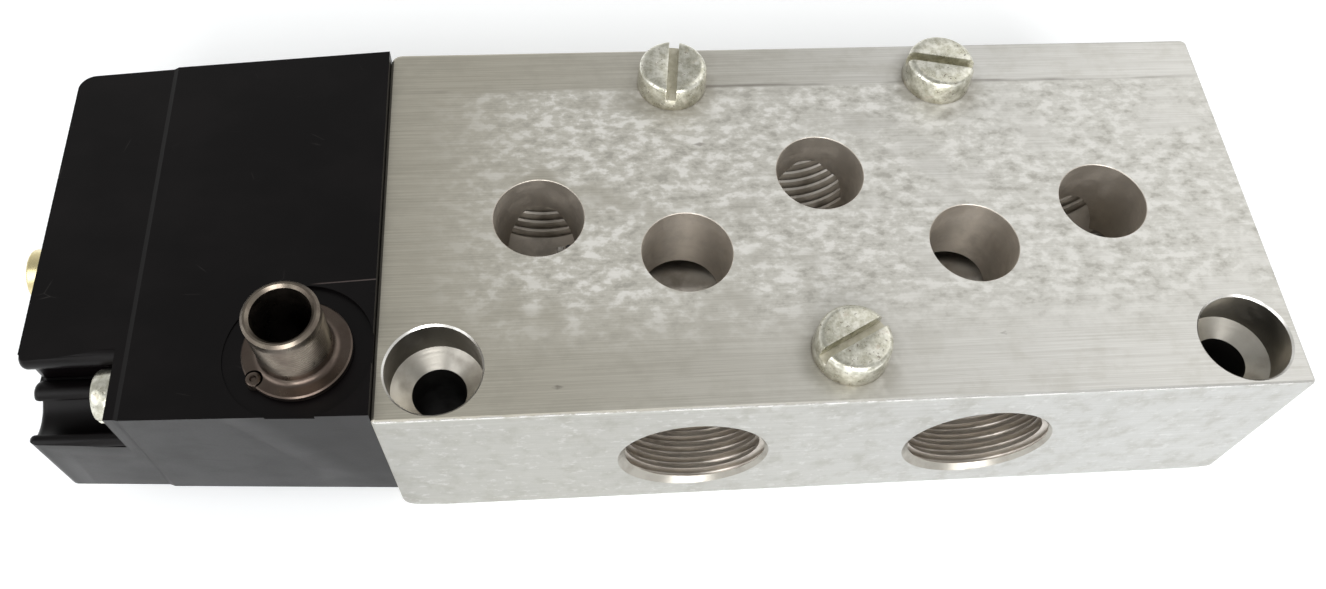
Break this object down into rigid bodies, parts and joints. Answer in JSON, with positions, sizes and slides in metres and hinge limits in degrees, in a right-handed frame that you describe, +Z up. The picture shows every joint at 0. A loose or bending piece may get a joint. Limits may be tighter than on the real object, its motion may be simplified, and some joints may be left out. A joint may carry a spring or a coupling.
{
  "type": "solenoid pilot spool valve",
  "caption": "Ported metal valve block with a sliding spool, slotted top screws and a black solenoid pilot head with a cable nipple and a push-button override.",
  "frame": {"origin": "centre of the valve block's bottom face", "axes": "+X along the block, away from the pilot head; +Y towards the face with three ports; +Z up, towards the face with five holes"},
  "size_m": [0.1376, 0.0474, 0.033],
  "materials": {
    "block_metal": "brushed, worn, with faint smudges",
    "zinc_screws": "zinc plated, dull yellow tint, worn",
    "steel": "ground",
    "dark_steel": "blackened",
    "nickel": "dull nickel with a brown tint",
    "brass": "turned, bright rim",
    "black_plastic": "satin moulded, fine scratches",
    "white_plastic": "moulded",
    "base_alloy": "die cast",
    "copper_wire": "enamelled copper winding",
    "rubber": "moulded",
    "gasket_sheet": "sheet gasket"
  },
  "bodies": {
    "valve_body": {"valve_block": "block_metal", "end_plug": "steel", "end_plug_o_ring": "rubber", "top_screw_rear_left": "zinc_screws", "top_screw_rear_right": "zinc_screws", "top_screw_front": "zinc_screws", "return_spring": "steel", "pilot_housing": "black_plastic", "pilot_gasket": "gasket_sheet", "pilot_base": "base_alloy", "base_screw_front": "dark_steel", "base_screw_rear": "dark_steel", "housing_screw_front": "zinc_screws", "housing_screw_rear": "zinc_screws", "cable_nipple": "nickel", "nipple_seal": "rubber", "nipple_retaining_ring": "steel", "nipple_lock_screw": "nickel", "yoke_frame": "dark_steel", "coil_bobbin": "white_plastic", "coil_winding": "copper_wire", "core_tube": "steel", "fixed_core": "steel", "pilot_seat": "brass", "ball_spring": "steel", "button_o_ring": "rubber", "button_spring": "steel"},
    "spool_set": {"spool": "steel", "spool_seal_1": "rubber", "spool_seal_2": "rubber", "spool_seal_3": "rubber", "spool_seal_4": "rubber", "end_seal_left": "rubber", "end_seal_right": "rubber"},
    "button": {"override_button": "brass"},
    "plunger": {"armature": "steel", "push_pin": "steel"},
    "ball": {"pilot_ball": "steel"}
  },
  "joints": [
    {"name": "spool_slide", "type": "slide", "parent": "valve_body", "child": "spool_set", "axis": [1, 0, 0], "range_m": [0, 0.0048], "stiffness_N_per_m": 600, "springref_m": -0.008, "deforming": ["return_spring"]},
    {"name": "override_button_slide", "type": "slide", "parent": "valve_body", "child": "button", "axis": [1, 0, 0], "range_m": [0, 0.0012], "stiffness_N_per_m": 800, "springref_m": -0.003, "deforming": ["button_spring", "ball_spring"]},
    {"name": "plunger_slide", "type": "slide", "parent": "valve_body", "child": "plunger", "axis": [1, 0, 0], "range_m": [0, 0.0012]},
    {"name": "ball_slide", "type": "slide", "parent": "valve_body", "child": "ball", "axis": [1, 0, 0], "range_m": [0, 0.0012]}
  ],
  "couplings": [
    {"joint": "plunger_slide", "follows": "override_button_slide", "ratio": 1},
    {"joint": "ball_slide", "follows": "override_button_slide", "ratio": 1}
  ]
}
